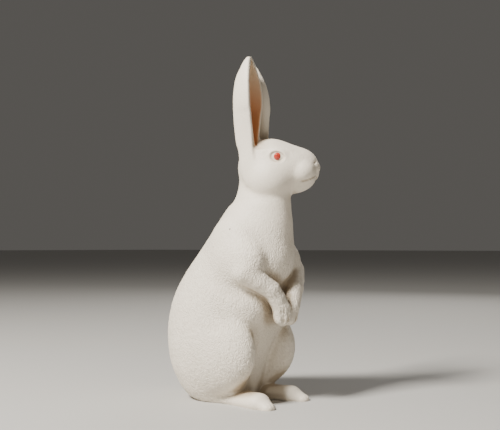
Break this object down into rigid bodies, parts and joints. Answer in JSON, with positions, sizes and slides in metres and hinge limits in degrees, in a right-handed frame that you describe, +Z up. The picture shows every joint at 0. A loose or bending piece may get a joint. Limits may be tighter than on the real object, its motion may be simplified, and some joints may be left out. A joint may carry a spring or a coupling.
{
  "type": "animal figurine",
  "caption": "White okimono figure of a rabbit standing upright on its hind legs, ears erect and forepaws together, with inlaid red bead eyes.",
  "frame": {"origin": "on the flat underside at z = 0, below the torso's axis", "axes": "+Z up to the ear tips; the rabbit's chest and feet face -Y and its left side is +X"},
  "size_m": [0.0946, 0.1434, 0.2899],
  "materials": {
    "body": "unglazed white with fine fur tooling, soft satin sheen",
    "eyes": "polished opaque red"
  },
  "bodies": {
    "root": {"rabbit": "body", "eye_right": "eyes", "eye_left": "eyes"}
  },
  "joints": []
}
